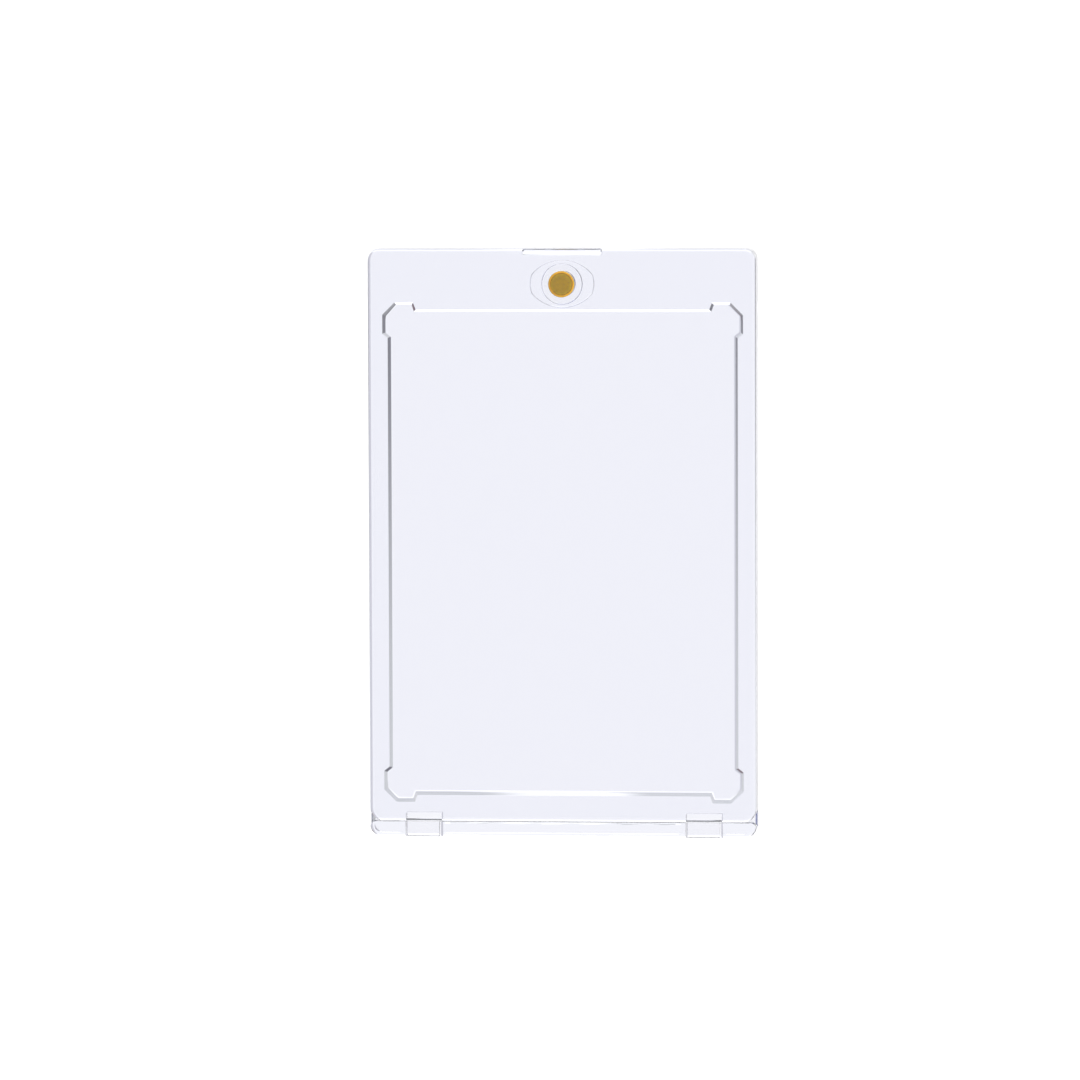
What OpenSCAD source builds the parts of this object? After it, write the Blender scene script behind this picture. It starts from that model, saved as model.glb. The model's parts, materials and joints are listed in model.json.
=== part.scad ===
// Clear two-piece display case for one trading card, lying on its back.
// The rear shell holds the card pocket and, at its foot, a lip with two windows.
// The front cover hooks two tabs into the windows and shuts on a pair of disc magnets.
// X runs across the case, Y from foot to head, Z from back to front.
// The origin is the middle of the flat back.

/* [Card pocket] */
// Width of the card
card_w = 63.5; // [60:0.1:70]
// Height of the card
card_h = 88.9; // [84:0.1:95]
// Thickness of the card, which is the depth of its pocket
card_t = 0.9; // [0.5:0.05:1.4]
// Gap between the card's edge and the foot of the pocket's wall
card_gap = 0.35; // [0.1:0.05:0.5]
// Run of the pocket's sloping wall, seen from the front
wall_run = 0.45; // [0.3:0.05:0.9]

/* [Corner reliefs] */
// How far a relief reaches past the pocket's side
relief_side = 1; // [0.6:0.05:1.6]
// How far a relief reaches past the pocket's end
relief_end = 1.3; // [0.8:0.05:1.8]
// Length of a relief along the pocket's end
relief_w = 4.75; // [4:0.05:6.5]
// Length of a relief along the pocket's side
relief_h = 4.5; // [4:0.05:6.5]
// Slant of the step where a relief leaves the pocket's end
slant_end = 0.5; // [0.3:0.05:1]
// Slant of the step where a relief leaves the pocket's side
slant_side = 0.8; // [0.3:0.05:1.2]
// Bevel across a relief's outer corner
relief_bevel = 2.3; // [1.5:0.05:2.8]

/* [Shells] */
// Border between the pocket's rim and the case's side
side_border = 3.55; // [3:0.05:8]
// Border between the pocket's rim and the foot of the cover
foot_border = 4.65; // [4:0.05:10]
// Radius of the case's corners
corner_r = 2.2; // [1.8:0.1:4]
// Radius of the cover's two foot corners
cover_foot_r = 2.5; // [1.8:0.1:4]
// Rounding of the outer edges in front
edge_r = 1; // [0.4:0.05:1.3]
// Bevel of the outer edges at the back
back_bevel = 0.55; // [0.4:0.05:1.3]
// Gap between the two shut shells
seam = 0.03; // [0.01:0.01:0.1]

/* [Magnets] */
// Diameter of a disc magnet
magnet_d = 4.76; // [3:0.01:7]
// Thickness of a disc magnet
magnet_t = 1.6; // [1:0.05:3]
// Rounding of a magnet's edges
magnet_edge = 0.35; // [0.1:0.05:0.45]
// Gap round a magnet and behind it in its seat
magnet_gap = 0.07; // [0.03:0.01:0.2]
// Thickness of the round plug that closes a magnet in
plug_t = 0.4; // [0.3:0.05:1]
// Width of the ledge that a plug rests on, round the magnet
plug_ledge = 1.37; // [0.8:0.01:2]
// Gap round a plug and behind it in its seat
plug_gap = 0.03; // [0.01:0.01:0.1]
// Plastic between the rear magnet and the back of the case
rear_skin = 1.2; // [0.6:0.05:3]
// Plastic between the front magnet and the front of the case
front_skin = 0.5; // [0.3:0.05:3]

/* [Locating key] */
// Width of the key's wall beside the plug, towards head and foot
key_wall = 0.55; // [0.4:0.05:1.5]
// Width of the key's ear beside the plug, towards either side
key_ear = 2.1; // [1:0.05:4]
// Radius of the key's two long arcs, towards head and foot
key_arc_r = 7.3; // [6:0.1:12]
// Rise of the key above the rear shell's front face
key_rise = 0.3; // [0.2:0.05:0.6]
// Gap between the key and the cover, all round and in front
key_gap = 0.1; // [0.06:0.01:0.3]
// Distance between the pocket's rim and the key
key_margin = 0.45; // [0.3:0.05:3]

/* [Thumb notch] */
// Width of the thumb notch at its mouth
notch_w = 15.1; // [10:0.1:25]
// Depth of the thumb notch from the head face
notch_d = 1.35; // [1:0.05:2.5]
// Height of the thumb notch below the cover
notch_h = 1.2; // [0.6:0.05:1.8]
// Run of the thumb notch's sloping wall, seen from the front
notch_run = 0.3; // [0.1:0.05:0.45]
// Bevel at the two ends of the thumb notch
notch_bevel = 0.45; // [0.2:0.05:0.9]
// Distance between the thumb notch and the key
notch_margin = 1; // [0.5:0.05:4]

/* [Hinge] */
// Depth of the lip along the foot of the case
lip_d = 2.85; // [2.4:0.05:5]
// Radius of the lip's two corners that face the cover
lip_corner_r = 1.2; // [0.6:0.1:1.5]
// Gap between the lip and the foot of the cover
hinge_gap = 0.1; // [0.06:0.01:0.3]
// Width of a hinge tab
tab_w = 6; // [4:0.1:12]
// Thickness of a hinge tab
tab_t = 1.2; // [0.8:0.05:1.5]
// Distance between a tab and the side of the case
tab_inset = 6.95; // [5:0.05:16]
// Distance between a tab's tip and the foot face
tab_short = 0.25; // [0.1:0.05:0.8]
// Gap beside a tab in its window
tab_side_gap = 0.35; // [0.1:0.05:0.8]
// Gap between a tab and the bridge in front of it
tab_gap = 0.1; // [0.05:0.01:0.3]
// Gap between an open tab and the end of its window
swing_gap = 0.15; // [0.08:0.01:0.5]
// Thickness of the bridge that closes a window in front
bridge_t = 1.2; // [0.8:0.05:1.4]
// Angle at which the cover's tabs come free of the lip
open_angle = 60; // [30:1:70]

/* [Hidden] */
$fn = 96;

// How far a tab's root reaches into the cover
tab_bite = 1;
// Cuts run this far past the faces that they open
cut = 0.5;
clear_plastic = [0.90, 0.91, 0.97];
gold_plate = [0.72, 0.55, 0.18];

// Magnet, plug and key
plug_d = magnet_d + 2 * plug_ledge;
key_w = plug_d + 2 * key_ear;
key_h = plug_d + 2 * key_wall;

// Levels along Z, from the magnet that each shell holds
ledge_depth = plug_t + plug_gap;
seat_depth = ledge_depth + magnet_t + magnet_gap;
rear_mouth = rear_skin + seat_depth;
rear_t = rear_mouth - key_rise;
cover_mouth = rear_mouth + key_gap;
case_t = cover_mouth + seat_depth + front_skin;

// Widths and heights, from the pocket outwards
rim_w = card_w + 2 * (card_gap + wall_run);
rim_h = card_h + 2 * (card_gap + wall_run);
case_w = rim_w + 2 * side_border;
head_border = key_margin + key_h + notch_margin + notch_d;
cover_h = foot_border + rim_h + head_border;
case_h = lip_d + hinge_gap + cover_h;

// Places along Y
case_head = case_h / 2;
case_foot = -case_h / 2;
lip_face = case_foot + lip_d;
cover_foot = lip_face + hinge_gap;
pocket_y = cover_foot + foot_border + rim_h / 2;
key_y = pocket_y + rim_h / 2 + key_margin + key_h / 2;

// The cover turns about the seam between it and the lip, level with the front face
hinge_y = lip_face + hinge_gap / 2;
hinge_z = case_t;

// Tab, from its tip in the lip to its root in the cover
tab_x = case_w / 2 - tab_inset - tab_w / 2;
tab_front = case_t - bridge_t - tab_gap;
tab_tip = case_foot + tab_short;
tab_root = cover_foot + tab_bite;
toe_r = tab_t / 2;
toe_y = tab_tip + toe_r;
toe_z = tab_front - toe_r;

// Window, as long as the tab's toe needs up to the open angle
toe_arm = norm([toe_y - hinge_y, toe_z - hinge_z]);
toe_start = atan2(toe_z - hinge_z, toe_y - hinge_y);
window_w = tab_w + 2 * tab_side_gap;
window_head = hinge_y + toe_arm * cos(toe_start + open_angle) + toe_r + swing_gap;

// Relief in the pocket's corner, counterclockwise round the rim from its foot
corner_x = rim_w / 2;
corner_y = rim_h / 2;
slant_reach = 2.5;
relief_outline = [
    [corner_x + relief_side, corner_y - relief_h] - slant_reach * [relief_side, slant_side],
    [corner_x + relief_side, corner_y - relief_h],
    [corner_x + relief_side, corner_y + relief_end - relief_bevel],
    [corner_x + relief_side - relief_bevel, corner_y + relief_end],
    [corner_x - relief_w, corner_y + relief_end],
    [corner_x - relief_w, corner_y + relief_end] - slant_reach * [slant_end, relief_end],
];
rim_outline = [
    [-corner_x, -corner_y],
    [corner_x, -corner_y],
    [corner_x, corner_y],
    [-corner_x, corner_y],
];

module both_sides() {
    for (flip = [0, 1]) mirror([flip, 0, 0]) children();
}

module both_ends() {
    for (flip = [0, 1]) mirror([0, flip, 0]) children();
}

// Section from the middle of the case to its edge, bevelled at the back and rounded in front
module edge_section(reach) {
    polygon([
        [0, 0],
        [reach - back_bevel, 0],
        [reach, back_bevel],
        [reach, case_t - edge_r],
        [reach - edge_r, case_t],
        [0, case_t],
    ]);
    translate([reach - edge_r, case_t - edge_r]) intersection() {
        circle(edge_r);
        square(edge_r);
    }
}

// Half of the case's solid shape, from y = 0 to y = reach
module slab_end(reach, r) {
    translate([r - case_w / 2, 0, 0]) rotate([90, 0, 90])
        linear_extrude(case_w - 2 * r) edge_section(reach);
    both_sides() translate([case_w / 2 - r, reach - r, 0])
        rotate_extrude() edge_section(r);
}

// The case's solid shape between two places along Y, with its edges bevelled and rounded all round
module slab(foot, head, foot_r, head_r) {
    both_sides() translate([0, head - head_r, 0]) rotate([90, 0, 0])
        linear_extrude(head - head_r - foot - foot_r) edge_section(case_w / 2);
    slab_end(head, head_r);
    mirror([0, 1, 0]) slab_end(-foot, foot_r);
}

// Everything between two heights
module layer(bottom, top) {
    translate([-case_w, -case_h, bottom]) cube([2 * case_w, 2 * case_h, top - bottom]);
}

// Cut with a convex outline at z = 0, whose walls slope in by a run towards its floor
module sloped_cut(outline, depth, run) {
    slope = atan(run / depth);
    intersection() {
        layer(-depth, cut);
        intersection_for (i = [0 : len(outline) - 1]) {
            edge = outline[(i + 1) % len(outline)] - outline[i];
            translate(outline[i]) rotate(atan2(edge.y, edge.x)) rotate([slope, 0, 0])
                translate([-case_h, 0, -case_h]) cube(2 * case_h);
        }
    }
}

module card_pocket() {
    translate([0, pocket_y, rear_t]) {
        sloped_cut(rim_outline, card_t, wall_run);
        both_sides() both_ends() sloped_cut(relief_outline, card_t, wall_run);
    }
}

// Oval with two long arcs and an arc about its middle at each end
module key_outline(gap) {
    half_h = key_h / 2 + gap;
    arc_r = key_arc_r + gap;
    intersection() {
        translate([0, half_h - arc_r]) circle(arc_r, $fn = 2 * $fn);
        translate([0, arc_r - half_h]) circle(arc_r, $fn = 2 * $fn);
        circle(key_w / 2 + gap, $fn = 2 * $fn);
    }
}

// Stepped hole for a magnet and its plug, with its mouth at z = 0
module magnet_seat() {
    translate([0, 0, -ledge_depth]) cylinder(d = plug_d + 2 * plug_gap, h = ledge_depth + cut);
    translate([0, 0, -seat_depth]) cylinder(d = magnet_d + 2 * magnet_gap, h = seat_depth);
}

// Bar of the lip seen from the front, with its two corners towards the cover rounded
module lip_outline() {
    corner = case_w / 2 - lip_corner_r;
    translate([-case_w / 2, case_foot]) square([case_w, lip_d - lip_corner_r]);
    translate([-corner, case_foot]) square([2 * corner, lip_d]);
    both_sides() translate([corner, lip_face - lip_corner_r]) circle(lip_corner_r);
}

module window() {
    translate([tab_x - window_w / 2, case_foot - cut, -cut])
        cube([window_w, window_head - case_foot + cut, case_t - bridge_t + cut]);
}

module thumb_notch() {
    mouth = notch_w / 2;
    wall_y = case_head - notch_d;
    translate([0, 0, rear_t]) sloped_cut([
        [notch_bevel - mouth, wall_y],
        [mouth - notch_bevel, wall_y],
        [mouth, wall_y + notch_bevel],
        [mouth, case_head + cut],
        [-mouth, case_head + cut],
        [-mouth, wall_y + notch_bevel],
    ], notch_h, notch_run);
}

module hinge_tab() {
    translate([tab_x - tab_w / 2, toe_y, tab_front - tab_t]) cube([tab_w, tab_root - toe_y, tab_t]);
    translate([tab_x - tab_w / 2, toe_y, toe_z]) rotate([0, 90, 0]) cylinder(r = toe_r, h = tab_w);
}

// Places a seat, or what is in it, in the rear shell
module rear_seat() {
    translate([0, key_y, rear_mouth]) children();
}

// Places a seat, or what is in it, in the front cover
module cover_seat() {
    translate([0, key_y, cover_mouth]) mirror([0, 0, 1]) children();
}

// Disc with its two edges rounded
module magnet() {
    flat_r = magnet_d / 2 - magnet_edge;
    translate([0, 0, -ledge_depth - magnet_t]) rotate_extrude() {
        square([flat_r, magnet_t]);
        translate([0, magnet_edge]) square([magnet_d / 2, magnet_t - 2 * magnet_edge]);
        for (z = [magnet_edge, magnet_t - magnet_edge]) translate([flat_r, z]) circle(magnet_edge);
    }
}

module plug() {
    translate([0, 0, -plug_t]) cylinder(d = plug_d, h = plug_t);
}

module rear_shell() {
    color(clear_plastic) difference() {
        union() {
            intersection() {
                slab(case_foot, case_head, corner_r, corner_r);
                union() {
                    layer(-cut, rear_t);
                    linear_extrude(case_t + cut) lip_outline();
                }
            }
            translate([0, key_y, rear_skin]) linear_extrude(rear_mouth - rear_skin) key_outline(0);
        }
        card_pocket();
        rear_seat() magnet_seat();
        both_sides() window();
        thumb_notch();
    }
}

module front_cover() {
    color(clear_plastic) difference() {
        union() {
            intersection() {
                slab(cover_foot, case_head, cover_foot_r, corner_r);
                layer(rear_t + seam, case_t + cut);
            }
            both_sides() hinge_tab();
        }
        translate([0, key_y, rear_t - cut]) linear_extrude(cover_mouth - rear_t + cut) key_outline(key_gap);
        cover_seat() magnet_seat();
    }
}

module rear_magnet() {
    color(gold_plate) rear_seat() magnet();
}

module front_magnet() {
    color(gold_plate) cover_seat() magnet();
}

module rear_magnet_plug() {
    color(clear_plastic) rear_seat() plug();
}

module front_magnet_plug() {
    color(clear_plastic) cover_seat() plug();
}

rear_shell();
front_cover();
rear_magnet();
front_magnet();
rear_magnet_plug();
front_magnet_plug();
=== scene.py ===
import json
import math

import bmesh
import bpy
from mathutils import Matrix, Vector

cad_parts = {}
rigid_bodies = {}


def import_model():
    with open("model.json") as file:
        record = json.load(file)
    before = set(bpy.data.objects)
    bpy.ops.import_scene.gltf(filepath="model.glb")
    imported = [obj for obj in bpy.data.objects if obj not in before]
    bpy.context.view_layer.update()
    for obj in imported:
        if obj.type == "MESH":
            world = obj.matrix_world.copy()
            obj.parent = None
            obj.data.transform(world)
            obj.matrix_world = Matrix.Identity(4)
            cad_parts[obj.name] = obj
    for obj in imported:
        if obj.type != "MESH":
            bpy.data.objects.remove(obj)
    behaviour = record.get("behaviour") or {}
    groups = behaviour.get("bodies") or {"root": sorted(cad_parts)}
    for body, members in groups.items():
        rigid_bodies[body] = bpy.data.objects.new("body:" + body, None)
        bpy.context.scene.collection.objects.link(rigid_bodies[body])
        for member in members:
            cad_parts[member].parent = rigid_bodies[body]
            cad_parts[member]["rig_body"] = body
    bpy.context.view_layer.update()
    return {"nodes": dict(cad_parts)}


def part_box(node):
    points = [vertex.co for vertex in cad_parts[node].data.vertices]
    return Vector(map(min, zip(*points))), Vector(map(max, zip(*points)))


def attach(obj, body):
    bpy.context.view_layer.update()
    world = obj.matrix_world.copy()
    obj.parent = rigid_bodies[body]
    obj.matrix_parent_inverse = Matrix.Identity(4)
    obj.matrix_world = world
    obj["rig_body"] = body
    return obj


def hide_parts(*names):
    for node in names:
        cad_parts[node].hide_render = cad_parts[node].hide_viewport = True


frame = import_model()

MM = 0.001
scene = bpy.context.scene

# Places in the case, from the frame
PART_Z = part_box("front_cover")[0][2]            # the cover's back face, at the seam
REAR_Z = PART_Z - 0.03 * MM                     # the rear shell's face at the seam
FRONT_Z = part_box("front_cover")[1][2]           # front face of the case
BEVEL_Z = 1 * MM                                # the bevel round the back lies below this
HEAD_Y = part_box("front_cover")[1][1]
FOOT_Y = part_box("rear_shell")[0][1]
MAGNET_LOW, MAGNET_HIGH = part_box("front_magnet")
MAGNET_Y = (MAGNET_LOW[1] + MAGNET_HIGH[1]) / 2

LIP_FACE_Y = FOOT_Y + 2.85 * MM                 # the lip's face towards the cover
LIP_TOP_Z = FRONT_Z - 1.1 * MM                  # the lip's front face and its edges lie above this
POCKET_LOW_Y = LIP_FACE_Y + 3 * MM              # the pocket lies between this
POCKET_HIGH_Y = MAGNET_Y - 4.6 * MM             # and the key's lowest point
NOTCH_WALL_Y = HEAD_Y - 1.35 * MM               # the thumb notch's wall, at the seam
NOTCH_HALF = 8 * MM                             # half of a width that the thumb notch lies in


# ---------------------------------------------------------------- node helpers
def new_material(name):
    """An empty node material, with its node tree and its output node."""
    material = bpy.data.materials.new(name)
    material.use_nodes = True
    tree = material.node_tree
    tree.nodes.clear()
    return material, tree, tree.nodes.new("ShaderNodeOutputMaterial")


def wire(tree, socket, value):
    """Sets an input to a number or a colour, or links it to an output."""
    if isinstance(value, (int, float, tuple)):
        socket.default_value = value
    else:
        tree.links.new(value, socket)


def add(tree, kind, settings=None, **inputs):
    """A node of that kind, with its properties set and its inputs wired by name."""
    node = tree.nodes.new(kind)
    for key, value in (settings or {}).items():
        setattr(node, key, value)
    for key, value in inputs.items():
        wire(tree, node.inputs[key.replace("_", " ")], value)
    return node


def add_in_order(tree, kind, settings, *values):
    """The first output of a node of that kind, with its inputs wired in their order."""
    node = add(tree, kind, settings)
    for socket, value in zip(node.inputs, values):
        wire(tree, socket, value)
    return node.outputs[0]


def maths(tree, operation, *values):
    return add_in_order(tree, "ShaderNodeMath", {"operation": operation}, *values)


def both(tree, a, b):
    """1 only where both factors are 1."""
    return maths(tree, "MULTIPLY", a, b)


def ramp(tree, value, low, high):
    """0 at low, 1 at high, smooth between; high may be the lower of the two."""
    node = add(tree, "ShaderNodeMapRange", {"interpolation_type": "SMOOTHSTEP"},
               Value=value, From_Min=low, From_Max=high)
    return node.outputs[0]


def blend(tree, factor, a, b):
    """Colour a where factor is 0, b where it is 1."""
    node = add(tree, "ShaderNodeMix", {"data_type": "RGBA"})
    for socket, value in zip((node.inputs[0], node.inputs[6], node.inputs[7]), (factor, a, b)):
        wire(tree, socket, value)
    return node.outputs[2]


def blend_value(tree, factor, a, b):
    """Number a where factor is 0, b where it is 1."""
    node = add(tree, "ShaderNodeMapRange", Value=factor, To_Min=a, To_Max=b)
    return node.outputs[0]


def object_place(tree):
    """Object coordinates, and their three parts."""
    place = add(tree, "ShaderNodeTexCoord").outputs["Object"]
    split = add(tree, "ShaderNodeSeparateXYZ", Vector=place)
    return place, split.outputs


def gray(value, r=1.0, g=1.0, b=1.0):
    """A gray of that value, tinted by three factors."""
    return (value * r, value * g, value * b, 1)


# ---------------------------------------------------------------- materials
GLOW = 0.012                    # of each face of the plastic


def clear_resin(name, color, ior, wave_scale, wave_depth):
    """A polished clear material with slow waves in its faces, and its tree, shader and output."""
    material, tree, out = new_material(name)
    place, _ = object_place(tree)
    waves = add(tree, "ShaderNodeTexNoise", Vector=place, Scale=wave_scale, Detail=2.0)
    bump = add(tree, "ShaderNodeBump", Height=waves.outputs["Fac"], Strength=1.0, Distance=wave_depth)
    shader = add(tree, "ShaderNodeBsdfPrincipled", Normal=bump.outputs[0])
    shader.inputs["Base Color"].default_value = color
    shader.inputs["Roughness"].default_value = 0.0
    shader.inputs["IOR"].default_value = ior
    shader.inputs["Transmission Weight"].default_value = 1
    tree.links.new(shader.outputs[0], out.inputs["Surface"])
    return material, tree, shader, out


def clear_plastic():
    """Clear plastic of the shells, with a violet tint that deepens along its edges."""
    color = (0.985, 0.985, 0.993, 1)
    material, tree, shader, out = clear_resin("clear_plastic", color, 1.49, 90.0, 0.004 * MM)
    # a faint glow, for the light that longer paths through the plastic would bring
    shader.inputs["Emission Color"].default_value = (0.94, 0.95, 1, 1)
    shader.inputs["Emission Strength"].default_value = GLOW
    tint = add(tree, "ShaderNodeVolumeAbsorption")
    tint.inputs["Color"].default_value = (0.2, 0.35, 0.9, 1)
    tint.inputs["Density"].default_value = 10
    tree.links.new(tint.outputs[0], out.inputs["Volume"])
    return material


def clear_bond():
    """Clear resin of the plugs, which hardly shows once it is set."""
    return clear_resin("clear_bond", (1, 1, 1, 1), 1.1, 400.0, 0.002 * MM)[0]


def gold_plate():
    """Gold plating: matt on the flat, with a painted highlight as a brighter ring inside the rim, smoother
    and redder on the rim, with duller patches.
    """
    flat = (0.98, 0.61, 0.0, 1)
    # painted highlight: the colour of a brighter ring inside the rim
    ring = (1.0, 0.67, 0.0, 1)
    rim = (1.0, 0.54, 0.0, 1)
    dull = (0.78, 0.48, 0.0, 1)
    material, tree, out = new_material("gold_plate")
    place, (x, y, _) = object_place(tree)
    square = maths(tree, "ADD", maths(tree, "MULTIPLY", x, x), maths(tree, "MULTIPLY", y, y))
    radius = maths(tree, "SQRT", square)
    # painted highlight: the plating turns brighter in a ring towards the rim
    color = blend(tree, ramp(tree, radius, 1.35 * MM, 1.8 * MM), flat, ring)
    color = blend(tree, ramp(tree, radius, 1.85 * MM, 2.05 * MM), color, rim)
    patches = add(tree, "ShaderNodeTexNoise", Vector=place, Scale=1500.0, Detail=3.0).outputs["Fac"]
    color = blend(tree, ramp(tree, patches, 0.4, 0.9), color, dull)
    grain = add(tree, "ShaderNodeTexNoise", Vector=place, Scale=6000.0, Detail=2.0).outputs["Fac"]
    bump = add(tree, "ShaderNodeBump", Height=grain, Strength=0.25, Distance=0.01 * MM)
    polish = blend_value(tree, ramp(tree, radius, 1.9 * MM, 2.1 * MM), 1.0, 0.35)
    rough = maths(tree, "MULTIPLY", blend_value(tree, patches, 0.40, 0.56), polish)
    shader = add(tree, "ShaderNodeBsdfPrincipled", Base_Color=color, Roughness=rough, Normal=bump.outputs[0])
    shader.inputs["Metallic"].default_value = 1
    tree.links.new(shader.outputs[0], out.inputs["Surface"])
    return material


# ---------------------------------------------------------------- finished meshes
SHARP = math.radians(28)        # edges of the shells that turn less than this belong to a curved face
TURNED_SHARP = math.radians(8)  # the same for the turned discs


def finished(name, mesh, sharp):
    """An object made of a mesh that is ready, smooth but for its edges that turn more than sharp."""
    mesh.normal_update()
    for edge in mesh.edges:
        edge.smooth = edge.calc_face_angle(0) < sharp
    data = bpy.data.meshes.new(name)
    mesh.to_mesh(data)
    mesh.free()
    data.polygons.foreach_set("use_smooth", [True] * len(data.polygons))
    piece = bpy.data.objects.new(name, data)
    scene.collection.objects.link(piece)
    return piece


# ---------------------------------------------------------------- shells
# Radii of their rounded edges, in mm
KEEN, CRISP, SOFT = 0.03, 0.04, 0.08
FLOOR_ROUND = 0.3               # round the pocket's floor
NOTCH_ROUND = 0.12              # along the thumb notch's wall

SEAT_REACH = 3.4 * MM           # the magnet seat's edges lie within this of its middle
WALL_SPREAD = 1.35              # how much further the pocket's walls run out than in the frame


def rear_edge(place):
    """Radius of a sharp edge of the rear shell, from where the edge lies."""
    if place.z < BEVEL_Z:
        return CRISP
    if POCKET_LOW_Y < place.y < POCKET_HIGH_Y:
        return FLOOR_ROUND if place.z < PART_Z - 0.5 * MM else CRISP
    if place.y < POCKET_LOW_Y:
        return KEEN                 # lip and windows
    if abs(place.x) < NOTCH_HALF and place.y > HEAD_Y - 2 * MM:
        return NOTCH_ROUND if place.y < HEAD_Y - 1.2 * MM else CRISP
    return SOFT                     # key and seat


def cover_edge(place):
    """Radius of a sharp edge of the front cover, from where the edge lies."""
    if place.y < LIP_FACE_Y + 0.5 * MM:
        return KEEN                 # foot and tabs
    if math.hypot(place.x, place.y - MAGNET_Y) < SEAT_REACH:
        return KEEN
    return SOFT if place.z > PART_Z + 0.1 * MM else CRISP


def cut_faces(mesh, faces, place, normal):
    """Cuts faces along a plane, and gives the vertices of the cut."""
    edges = {edge for face in faces for edge in face.edges}
    verts = {vertex for face in faces for vertex in face.verts}
    made = bmesh.ops.bisect_plane(mesh, geom=[*verts, *edges, *faces], plane_co=place, plane_no=normal)
    return [part for part in made["geom_cut"] if isinstance(part, bmesh.types.BMVert)]


def slope_notch(mesh):
    """Makes the thumb notch's wall a short drop and then a ramp that runs out towards the head face."""
    drop, lean = 0.34 * MM, 0.17 * MM           # how deep the drop goes, and how far it slants
    raised, foot = 0.45 * MM, 0.55 * MM         # the ramp's end: above the notch's floor, from the head
    near_head = HEAD_Y - 0.3 * MM
    wall = [v for v in mesh.verts if abs(v.co.x) < NOTCH_HALF and HEAD_Y - 1.3 * MM < v.co.y
            and PART_Z - 2 * MM < v.co.z < PART_Z - 1 * MM]
    for vertex in wall:
        vertex.co.z += raised
        if vertex.co.y < near_head:
            vertex.co.y = HEAD_Y - foot
    faces = {face for vertex in wall for face in vertex.link_faces if abs(face.normal.z) < 0.9}
    for vertex in cut_faces(mesh, faces, (0, 0, REAR_Z - drop), (0, 0, 1)):
        if vertex.co.y < near_head:
            vertex.co.y = min(vertex.co.y, NOTCH_WALL_Y + lean)


def wide_walls(mesh):
    """Draws the pocket floor's outline in at the left and the foot, so that its walls run out further."""
    moves = {}
    for edge in mesh.edges:
        top, foot = sorted(edge.verts, key=lambda vertex: -vertex.co.z)
        inside = POCKET_LOW_Y < foot.co.y < POCKET_HIGH_Y and foot.co.z > BEVEL_Z
        if inside and abs(top.co.z - REAR_Z) < 0.01 * MM and top.co.z - foot.co.z > 0.3 * MM:
            moves[foot] = (top.co - foot.co) * (1 - WALL_SPREAD)
    for foot, move in moves.items():
        if foot.co.x < 0:
            foot.co.x += move.x
        if foot.co.y < 0:
            foot.co.y += move.y


def shape_rear(mesh):
    slope_notch(mesh)
    wide_walls(mesh)


def lip_groove(mesh, left, right, y, depth, wave=0.0):
    """Cuts a shallow groove along the lip's front face, from left to right; wave makes its depth vary."""
    slope, back = 0.26 * MM, 0.06 * MM      # how far its two sides run, from y on
    step = 1 * MM                           # between the points along it
    count = round((right - left) / step)
    places = [left + (right - left) * i / count for i in range(count + 1)]
    planes = [((x, 0, 0), (1, 0, 0)) for x in places]
    planes += [((0, y + d, 0), (0, 1, 0)) for d in (0, slope, slope + back)]
    for place, normal in planes:
        faces = [f for f in mesh.faces if f.normal.z > 0.3 and f.calc_center_median().y < LIP_FACE_Y
                 and min(v.co.z for v in f.verts) > LIP_TOP_Z]
        cut_faces(mesh, faces, place, normal)
    for vertex in mesh.verts:
        x = vertex.co.x
        on_line = abs(vertex.co.y - y - slope) < 0.001 * MM and vertex.co.z > LIP_TOP_Z
        if on_line and left + 0.01 * MM < x < right - 0.01 * MM:
            vertex.co.z -= depth * (1 + 0.15 * wave * math.sin(0.9 * x / MM))


def lip_grooves(mesh):
    """The faint lines along the lip: a wavy one by the cover, a long one and two short ones by the foot."""
    lip_groove(mesh, -22 * MM, 22 * MM, LIP_FACE_Y - 0.4 * MM, 0.23 * MM, wave=1.0)
    for left, right in ((-22, 22), (-34, -30.5), (30.5, 34)):
        lip_groove(mesh, left * MM, right * MM, FOOT_Y + 0.55 * MM, 0.4 * MM)


def dressed(node, material, rounding, before=None, after=None):
    """
    A copy of a shell with its sharp edges rounded, riding where the shell rides.

    rounding gives an edge's radius in mm from its place. The functions before and after
    shape the mesh before and after its edges are rounded.
    """
    source = frame["nodes"][node]
    mesh = bmesh.new()
    mesh.from_mesh(source.data)
    bmesh.ops.remove_doubles(mesh, verts=mesh.verts, dist=0.0005 * MM)
    bmesh.ops.dissolve_limit(mesh, angle_limit=math.radians(0.5), verts=mesh.verts, edges=mesh.edges)
    if before:
        before(mesh)
    groups = {}
    for edge in mesh.edges:
        if edge.calc_face_angle() > SHARP:
            place = (edge.verts[0].co + edge.verts[1].co) / 2
            groups.setdefault(rounding(place), []).append(edge)
    for radius in sorted(groups, reverse=True):
        edges = [edge for edge in groups[radius] if edge.is_valid]
        bmesh.ops.bevel(mesh, geom=edges, offset=radius * MM, offset_type="OFFSET", segments=3,
                        profile=0.5, affect="EDGES", clamp_overlap=True)
    if after:
        after(mesh)
    piece = finished(node + "_moulded", mesh, SHARP)
    piece.data.materials.append(material)
    flat = piece.modifiers.new("flat_faces", "WEIGHTED_NORMAL")
    flat.mode = "FACE_AREA"
    flat.weight = 100
    flat.keep_sharp = True
    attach(piece, source["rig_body"])
    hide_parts(node)
    return piece


# ---------------------------------------------------------------- magnets
PLATING = 0.05 * MM             # how far the bright rim reaches into the gap round a magnet


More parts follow.
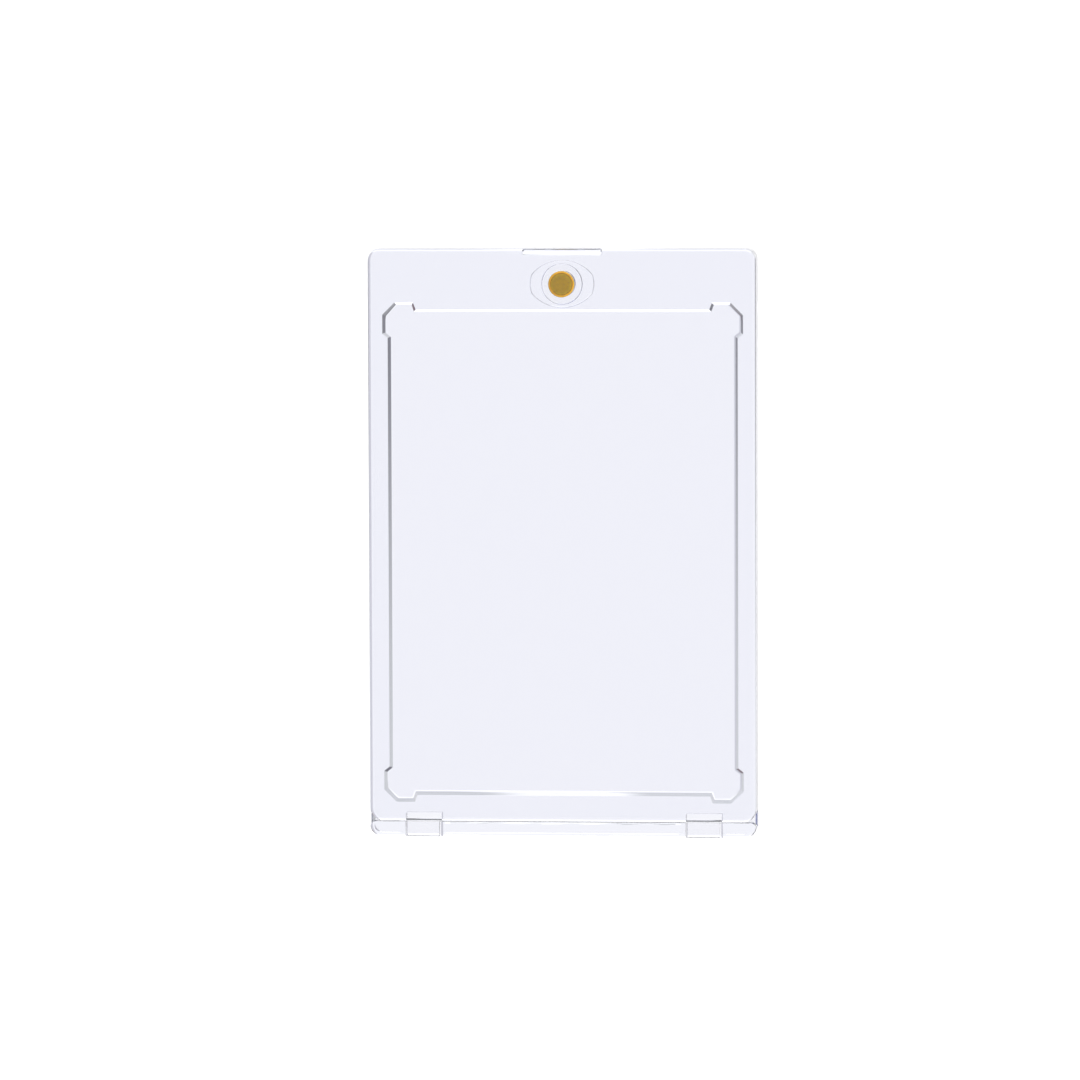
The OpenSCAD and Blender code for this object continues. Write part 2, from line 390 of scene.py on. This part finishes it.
def lathe(name, profile, segments=128):
    """A closed solid turned about Z from (radius, height) points that start and end on the axis."""
    mesh = bmesh.new()
    rings = []
    for radius, height in profile:
        if radius == 0:
            rings.append([mesh.verts.new((0, 0, height))])
            continue
        turn = [2 * math.pi * i / segments for i in range(segments)]
        rings.append([mesh.verts.new((radius * math.cos(a), radius * math.sin(a), height)) for a in turn])
    for low, high in zip(rings, rings[1:]):
        for i in range(segments):
            j = (i + 1) % segments
            corners = [low[i % len(low)], low[j % len(low)], high[j % len(high)], high[i % len(high)]]
            mesh.faces.new(list(dict.fromkeys(corners)))
    return finished(name, mesh, TURNED_SHARP)


def magnet_profile(radius, thick):
    """Half section of a plated disc: on either face a flat, a faint ring and a rim like a coin's."""
    rim, fall, curve = 0.36 * MM, 0.12 * MM, 0.02 * MM
    groove = radius - rim
    top = [
        (0, thick / 2 - 0.03 * MM),
        (1.75 * MM, thick / 2 - 0.03 * MM),
        (1.82 * MM, thick / 2 - 0.01 * MM),
        (groove - 0.06 * MM, thick / 2 - 0.01 * MM),
        (groove, thick / 2 - fall),
        (radius - curve, thick / 2),
        (radius, thick / 2 - curve),
    ]
    return [(r, -z) for r, z in top] + [(r, z) for r, z in reversed(top)]


def plated_magnet(node, material):
    """A turned disc in the place of a magnet."""
    low, high = (Vector(corner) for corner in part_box(node))
    size = high - low
    piece = lathe(node + "_plated", magnet_profile(size.x / 2 + PLATING, size.z))
    piece.location = (low + high) / 2
    piece.data.materials.append(material)
    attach(piece, frame["nodes"][node]["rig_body"])
    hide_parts(node)
    return piece


# ---------------------------------------------------------------- studio
BACKDROP_DEPTH = 600 * MM
SEEN_AT = (-52.6 * MM, -42 * MM)        # where the camera's line through the case meets the backdrop
GLOW_SEEN = 4.5 * GLOW                  # what the faces of the closed case add to the backdrop


def studio_floor():
    """White floor that keeps the soft shade of what stands on it."""
    material, tree, out = new_material("floor")
    diffuse = add(tree, "ShaderNodeBsdfDiffuse")
    diffuse.inputs["Color"].default_value = gray(0.9)
    glow = add(tree, "ShaderNodeEmission")
    glow.inputs["Strength"].default_value = 0.6
    lit = add_in_order(tree, "ShaderNodeAddShader", None, diffuse.outputs[0], glow.outputs[0])
    path = add(tree, "ShaderNodeLightPath")
    seen = maths(tree, "MAXIMUM", path.outputs["Is Camera Ray"], path.outputs["Is Glossy Ray"])
    shown = add_in_order(tree, "ShaderNodeMixShader", None, seen, diffuse.outputs[0], lit)
    tree.links.new(shown, out.inputs["Surface"])
    return material


def pane_tones(tree, x, y):
    """What the panes and borders show: even paper, bright past the head and shaded past the foot."""
    color = blend(tree, ramp(tree, y, 0.08, 0.14), gray(1.035, 1.0, 1.0, 1.02), gray(1.1))
    color = blend(tree, ramp(tree, y, 0.17, 0.24), color, gray(1.6))
    across = maths(tree, "ABSOLUTE", x)
    below = blend(tree, ramp(tree, across, 0.16, 0.22), gray(1.25), gray(0.74))
    color = blend(tree, ramp(tree, y, -0.09, -0.12), color, below)
    gleam = both(tree, ramp(tree, x, -0.036, -0.022), ramp(tree, x, 0.012, 0.002))
    shade = blend(tree, gleam, gray(0.73, 0.985, 1.0, 1.02), gray(1.2))
    foot = both(tree, ramp(tree, y, -0.2, -0.33), ramp(tree, y, -0.72, -0.62))
    color = blend(tree, foot, color, shade)
    return blend(tree, ramp(tree, y, -1.1, -1.3), color, gray(0.78, 0.98, 0.98, 1.03))


def left_edge_shade(tree, x, y, color):
    """Adds the painted shade that shows as a dark line along the left edge."""
    line = both(tree, ramp(tree, x, 0.06, 0.1), ramp(tree, y, -0.2, -0.1))
    return blend(tree, line, color, gray(0.70, 0.99, 0.98, 1.05))


def wall_shades(tree, x, y, color):
    """Adds the painted shade that the pocket's walls show: darker further out, darkest past the head's
    corners.
    """
    # painted shade: darker zones on the backdrop, which the pocket's walls show
    wall = blend(tree, ramp(tree, y, -0.08, 0.08), gray(0.70, 0.99, 1.0, 1.0), gray(0.17, 1.0, 0.97, 1.05))
    step = blend(tree, ramp(tree, x, -0.05, 0.05), wall, (0.14, 0.07, 0.08, 1))
    dark_shade = blend(tree, ramp(tree, y, 0.1, 0.14), wall, step)
    dark_shade = blend(tree, ramp(tree, y, 0.25, 0.3), dark_shade, gray(0.33))
    across = maths(tree, "ABSOLUTE", x)
    start = blend_value(tree, ramp(tree, y, 0.09, 0.13), 0.28, 0.18)
    reach = ramp(tree, maths(tree, "SUBTRACT", across, start), 0.0, 0.07)
    reach = both(tree, reach, ramp(tree, across, 0.75, 0.64))
    reach = both(tree, reach, ramp(tree, y, -0.2, -0.12))
    return blend(tree, reach, color, dark_shade)


def backdrop_paper():
    """What the clear parts show: paper painted with light and shade, shaded at both sides and towards the
    foot.
    """
    material, tree, out = new_material("backdrop_paper")
    _, (x, y, _) = object_place(tree)
    x = maths(tree, "SUBTRACT", x, SEEN_AT[0])
    y = maths(tree, "SUBTRACT", y, SEEN_AT[1])
    color = pane_tones(tree, x, y)
    color = left_edge_shade(tree, x, y, color)
    color = wall_shades(tree, x, y, color)
    dimmed = add_in_order(tree, "ShaderNodeVectorMath", {"operation": "SUBTRACT"}, color, (GLOW_SEEN,) * 3)
    glow = add(tree, "ShaderNodeEmission", Color=dimmed)
    tree.links.new(glow.outputs[0], out.inputs["Surface"])
    return material


def make_plane(name, material, z):
    """A level square under the case that isn't part of the object."""
    half = 4                            # metres from its middle to each side
    data = bpy.data.meshes.new(name)
    corners = [(-half, -half, 0), (half, -half, 0), (half, half, 0), (-half, half, 0)]
    data.from_pydata(corners, [], [(0, 1, 2, 3)])
    data.materials.append(material)
    plane = bpy.data.objects.new(name, data)
    plane.location.z = z
    scene.collection.objects.link(plane)
    return plane


def make_studio():
    """The floor, and far below it the backdrop, which only rays through the clear parts see."""
    floor = make_plane("floor", studio_floor(), -0.2 * MM)
    floor.visible_transmission = False
    backdrop = make_plane("backdrop", backdrop_paper(), -BACKDROP_DEPTH)
    backdrop.visible_camera = False
    backdrop.visible_diffuse = False
    backdrop.visible_glossy = False
    backdrop.visible_shadow = False


def make_world():
    """A soft light tent: violet overhead, bright all round, darker at the horizon."""
    world = bpy.data.worlds.new("studio")
    world.use_nodes = True
    tree = world.node_tree
    tree.nodes.clear()
    out = tree.nodes.new("ShaderNodeOutputWorld")
    direction = add(tree, "ShaderNodeTexCoord").outputs["Generated"]
    height = add(tree, "ShaderNodeSeparateXYZ", Vector=direction).outputs[2]
    color = blend(tree, ramp(tree, height, 0.75, 0.92), gray(1.0), (0.3, 0.3, 0.42, 1))
    color = blend(tree, ramp(tree, height, 0.35, 0.1), color, (0.42, 0.43, 0.56, 1))
    path = add(tree, "ShaderNodeLightPath")
    mirrored = maths(tree, "MAXIMUM", path.outputs["Is Glossy Ray"], path.outputs["Is Transmission Ray"])
    lit = blend(tree, mirrored, gray(0.85), color)
    shown = blend(tree, path.outputs["Is Camera Ray"], lit, gray(1.0))
    background = add(tree, "ShaderNodeBackground", Color=shown)
    tree.links.new(background.outputs[0], out.inputs["Surface"])
    scene.world = world


# ---------------------------------------------------------------- camera
PHOTO = 1080                    # pixels across the photograph
PX_PER_MM = 5.367
CASE_PX = (563.3, 542.6)        # centre of the case in the photograph
HEIGHT = 1.494                  # of the lens over the middle of the case, in metres
AIM_X, AIM_Y = 5.0, 4.0         # degrees that the camera stands to the right of the case, and above it


def make_camera():
    """A long lens aimed at the case from its upper right, turned to level the case's sides."""
    data = bpy.data.cameras.new("camera")
    camera = bpy.data.objects.new("camera", data)
    scene.collection.objects.link(camera)
    aside = Vector((math.tan(math.radians(AIM_X)), math.tan(math.radians(AIM_Y)), 1)) * HEIGHT
    back = aside.normalized()
    # the case's two directions as the camera sees them, each turned by half of their slant
    level = (Vector((1, 0, 0)) - back * back.x).normalized()
    upright = (Vector((0, 1, 0)) - back * back.y).normalized()
    skew = level.dot(upright) / 2
    right, up = (level - upright * skew).normalized(), (upright - level * skew).normalized()
    camera.rotation_euler = Matrix((right, up, back)).transposed().to_euler()
    camera.location = aside + Vector((0, 0, FRONT_Z / 2))
    data.sensor_width = 36
    narrowing = 1 - (back.x ** 2 + back.y ** 2) / 4     # of the case's sides, seen at a slant
    data.lens = data.sensor_width * aside.length * PX_PER_MM / (PHOTO * MM * narrowing)
    data.shift_x = -(CASE_PX[0] - PHOTO / 2) / PHOTO
    data.shift_y = (CASE_PX[1] - PHOTO / 2) / PHOTO
    data.clip_start = 0.01
    data.clip_end = 20
    scene.camera = camera


plastic = clear_plastic()
gold = gold_plate()
bond = clear_bond()
dressed("rear_shell", plastic, rear_edge, shape_rear, lip_grooves)
dressed("front_cover", plastic, cover_edge)
for magnet in ("rear_magnet", "front_magnet"):
    plated_magnet(magnet, gold)
for plug in ("rear_magnet_plug", "front_magnet_plug"):
    frame["nodes"][plug].data.materials[0] = bond
make_studio()
make_world()
make_camera()
scene.view_settings.view_transform = "Standard"
